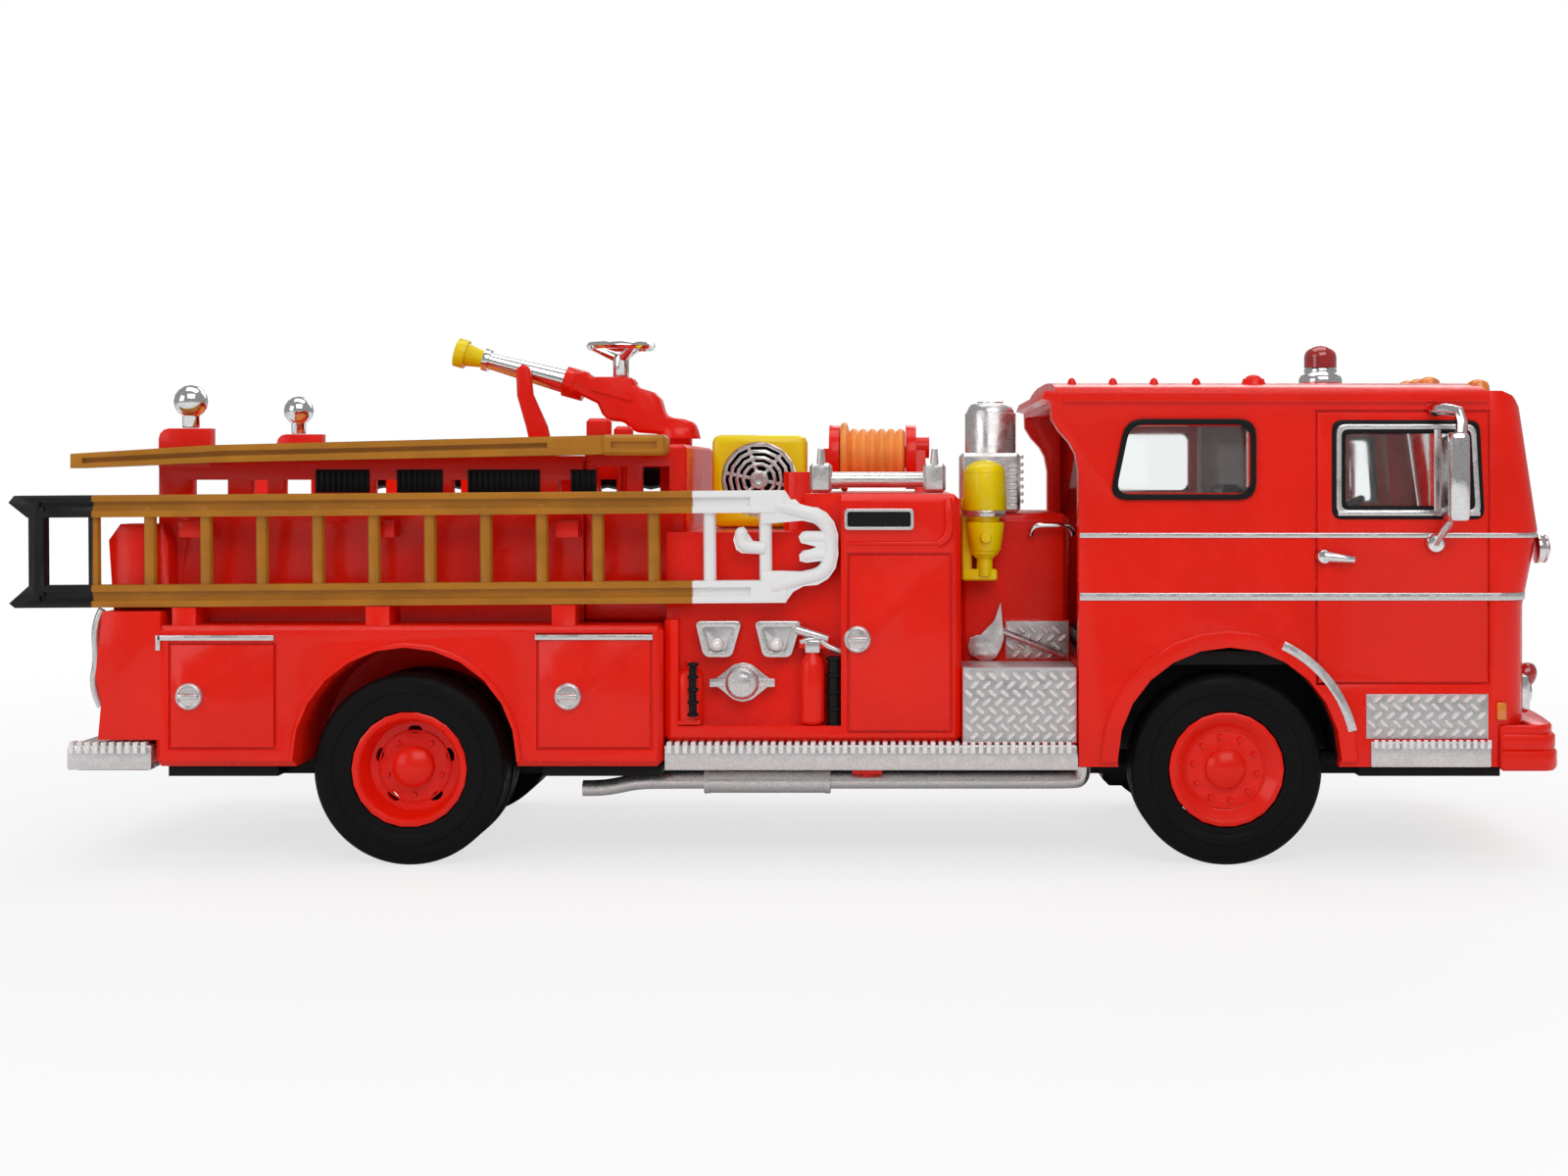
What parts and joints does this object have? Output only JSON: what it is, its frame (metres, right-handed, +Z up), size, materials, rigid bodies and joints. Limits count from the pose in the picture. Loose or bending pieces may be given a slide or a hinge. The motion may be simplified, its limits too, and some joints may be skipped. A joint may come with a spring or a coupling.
{
  "type": "fire engine scale model",
  "caption": "Die-cast scale model of a cab-over fire engine with a side ladder, a swivelling deck gun, a hose reel and wheels that roll on two axles.",
  "frame": {"origin": "centre of the bounding box's bottom face, on the surface that the tyres stand on", "axes": "+X forward along the model, +Y to the model's left, +Z up"},
  "size_m": [0.134, 0.0472, 0.0463],
  "materials": {
    "black_plastic": "satin black moulded plastic",
    "black_rubber": "satin black rubber",
    "chrome_plating": "vacuum-plated chrome",
    "clear_plastic": "clear moulded plastic",
    "hose_tan": "satin tan moulded hose",
    "ladder_brown": "semi-gloss brown plastic with painted ends",
    "red_enamel": "glossy red enamel on die-cast metal",
    "ruby_lens": "translucent ruby red plastic",
    "silver_paint": "satin silver paint",
    "steel_wire": "bright drawn steel",
    "yellow_paint": "semi-gloss yellow paint"
  },
  "bodies": {
    "root": {"air_intake": "silver_paint", "attic_ladder": "ladder_brown", "axe": "silver_paint", "base_plate": "black_plastic", "beacon_base": "chrome_plating", "beacon_dome": "ruby_lens", "breathing_set": "yellow_paint", "cab_interior": "black_plastic", "cab_shell": "red_enamel", "crew_step": "red_enamel", "discharge_cap_l": "silver_paint", "discharge_cap_r": "silver_paint", "ejector_grille": "silver_paint", "exhaust": "silver_paint", "extinguisher_a": "red_enamel", "extinguisher_b": "red_enamel", "front_bumper": "red_enamel", "glass_front": "clear_plastic", "glass_side_l": "clear_plastic", "glass_side_r": "clear_plastic", "gun_platform": "red_enamel", "gun_rest": "red_enamel", "headlight_l": "chrome_plating", "headlight_r": "chrome_plating", "hose_body": "red_enamel", "hose_load": "hose_tan", "hose_reel": "red_enamel", "mirror_l": "chrome_plating", "mirror_r": "chrome_plating", "pump_house": "red_enamel", "rear_lamp_l": "chrome_plating", "rear_lamp_r": "chrome_plating", "rear_step": "red_enamel", "reel_hose": "hose_tan", "reel_roller_guide": "silver_paint", "running_board_l": "red_enamel", "running_board_r": "red_enamel", "side_ladder": "ladder_brown", "smoke_ejector": "yellow_paint", "steering_wheel": "black_plastic", "suction_hose_lower": "black_plastic", "suction_hose_upper": "black_plastic", "tool_boards_l": "silver_paint", "tool_boards_r": "silver_paint", "warning_light_l": "chrome_plating", "warning_light_r": "chrome_plating"},
    "front_wheels": {"axle_front": "steel_wire", "rim_front_l": "red_enamel", "rim_front_r": "red_enamel", "tyre_front_l": "black_rubber", "tyre_front_r": "black_rubber"},
    "rear_wheels": {"axle_rear": "steel_wire", "rim_rear_l": "red_enamel", "rim_rear_r": "red_enamel", "tyre_rear_l": "black_rubber", "tyre_rear_r": "black_rubber"},
    "deck_gun": {"gun_body": "red_enamel", "gun_barrel": "chrome_plating", "gun_tip": "yellow_paint", "gun_handwheel": "chrome_plating"}
  },
  "joints": [
    {"name": "front_axle_roll", "type": "hinge", "parent": "root", "child": "front_wheels", "pos_m": [0.0371, 0, 0.0082], "axis": [0, 1, 0], "continuous": true},
    {"name": "rear_axle_roll", "type": "hinge", "parent": "root", "child": "rear_wheels", "pos_m": [-0.0329, 0, 0.0082], "axis": [0, 1, 0], "continuous": true},
    {"name": "gun_swivel", "type": "hinge", "parent": "root", "child": "deck_gun", "pos_m": [-0.0116, 0, 0.0361], "axis": [0, 0, 1], "range_deg": [-170, 0]}
  ]
}
